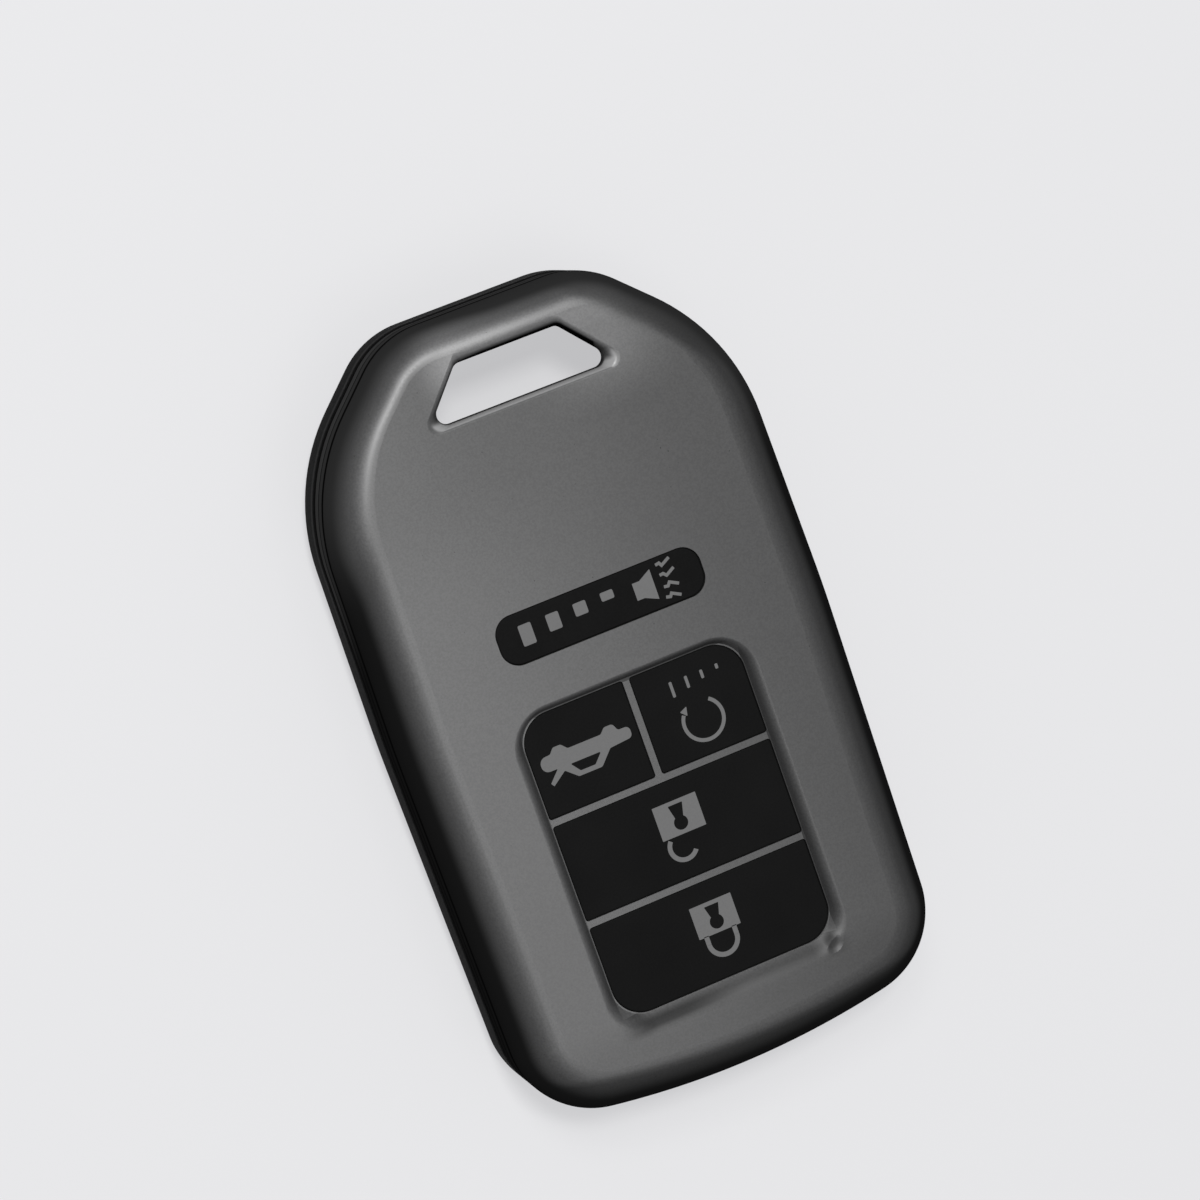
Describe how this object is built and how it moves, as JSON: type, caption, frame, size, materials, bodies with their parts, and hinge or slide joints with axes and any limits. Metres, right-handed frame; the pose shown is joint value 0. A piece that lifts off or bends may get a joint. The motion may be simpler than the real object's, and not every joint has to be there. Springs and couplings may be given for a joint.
{
  "type": "key fob cover",
  "caption": "Two-piece press-fit cover for a flat smart key fob, with a keyring slot, a flush key strip and a sunk panel of push keys.",
  "frame": {"origin": "centre of the cover's bounding box on its back face, which lies on the table", "axes": "+X across the cover, +Y along it towards the keyring slot, +Z out of the front face"},
  "size_m": [0.0444, 0.0776, 0.017],
  "materials": {
    "satin_grey": "satin painted",
    "satin_black": "satin",
    "soft_black": "matt",
    "key_black": "matt"
  },
  "bodies": {
    "rear": {"rear_shell": "satin_black", "inner_frame": "soft_black"},
    "front": {"front_shell": "satin_grey", "keypad_mat": "soft_black"},
    "panic": {"panic_key": "key_black"},
    "trunk": {"trunk_key": "key_black"},
    "start": {"start_key": "key_black"},
    "unlock": {"unlock_key": "key_black"},
    "lock": {"lock_key": "key_black"}
  },
  "joints": [
    {"name": "front_lift", "type": "slide", "parent": "rear", "child": "front", "axis": [0, 0, 1], "range_m": [0, 0.025]},
    {"name": "panic_press", "type": "slide", "parent": "front", "child": "panic", "axis": [0, 0, -1], "range_m": [0, 0.0006], "stiffness_N_per_m": 600},
    {"name": "trunk_press", "type": "slide", "parent": "front", "child": "trunk", "axis": [0, 0, -1], "range_m": [0, 0.0006], "stiffness_N_per_m": 600},
    {"name": "start_press", "type": "slide", "parent": "front", "child": "start", "axis": [0, 0, -1], "range_m": [0, 0.0006], "stiffness_N_per_m": 600},
    {"name": "unlock_press", "type": "slide", "parent": "front", "child": "unlock", "axis": [0, 0, -1], "range_m": [0, 0.0006], "stiffness_N_per_m": 600},
    {"name": "lock_press", "type": "slide", "parent": "front", "child": "lock", "axis": [0, 0, -1], "range_m": [0, 0.0006], "stiffness_N_per_m": 600}
  ]
}
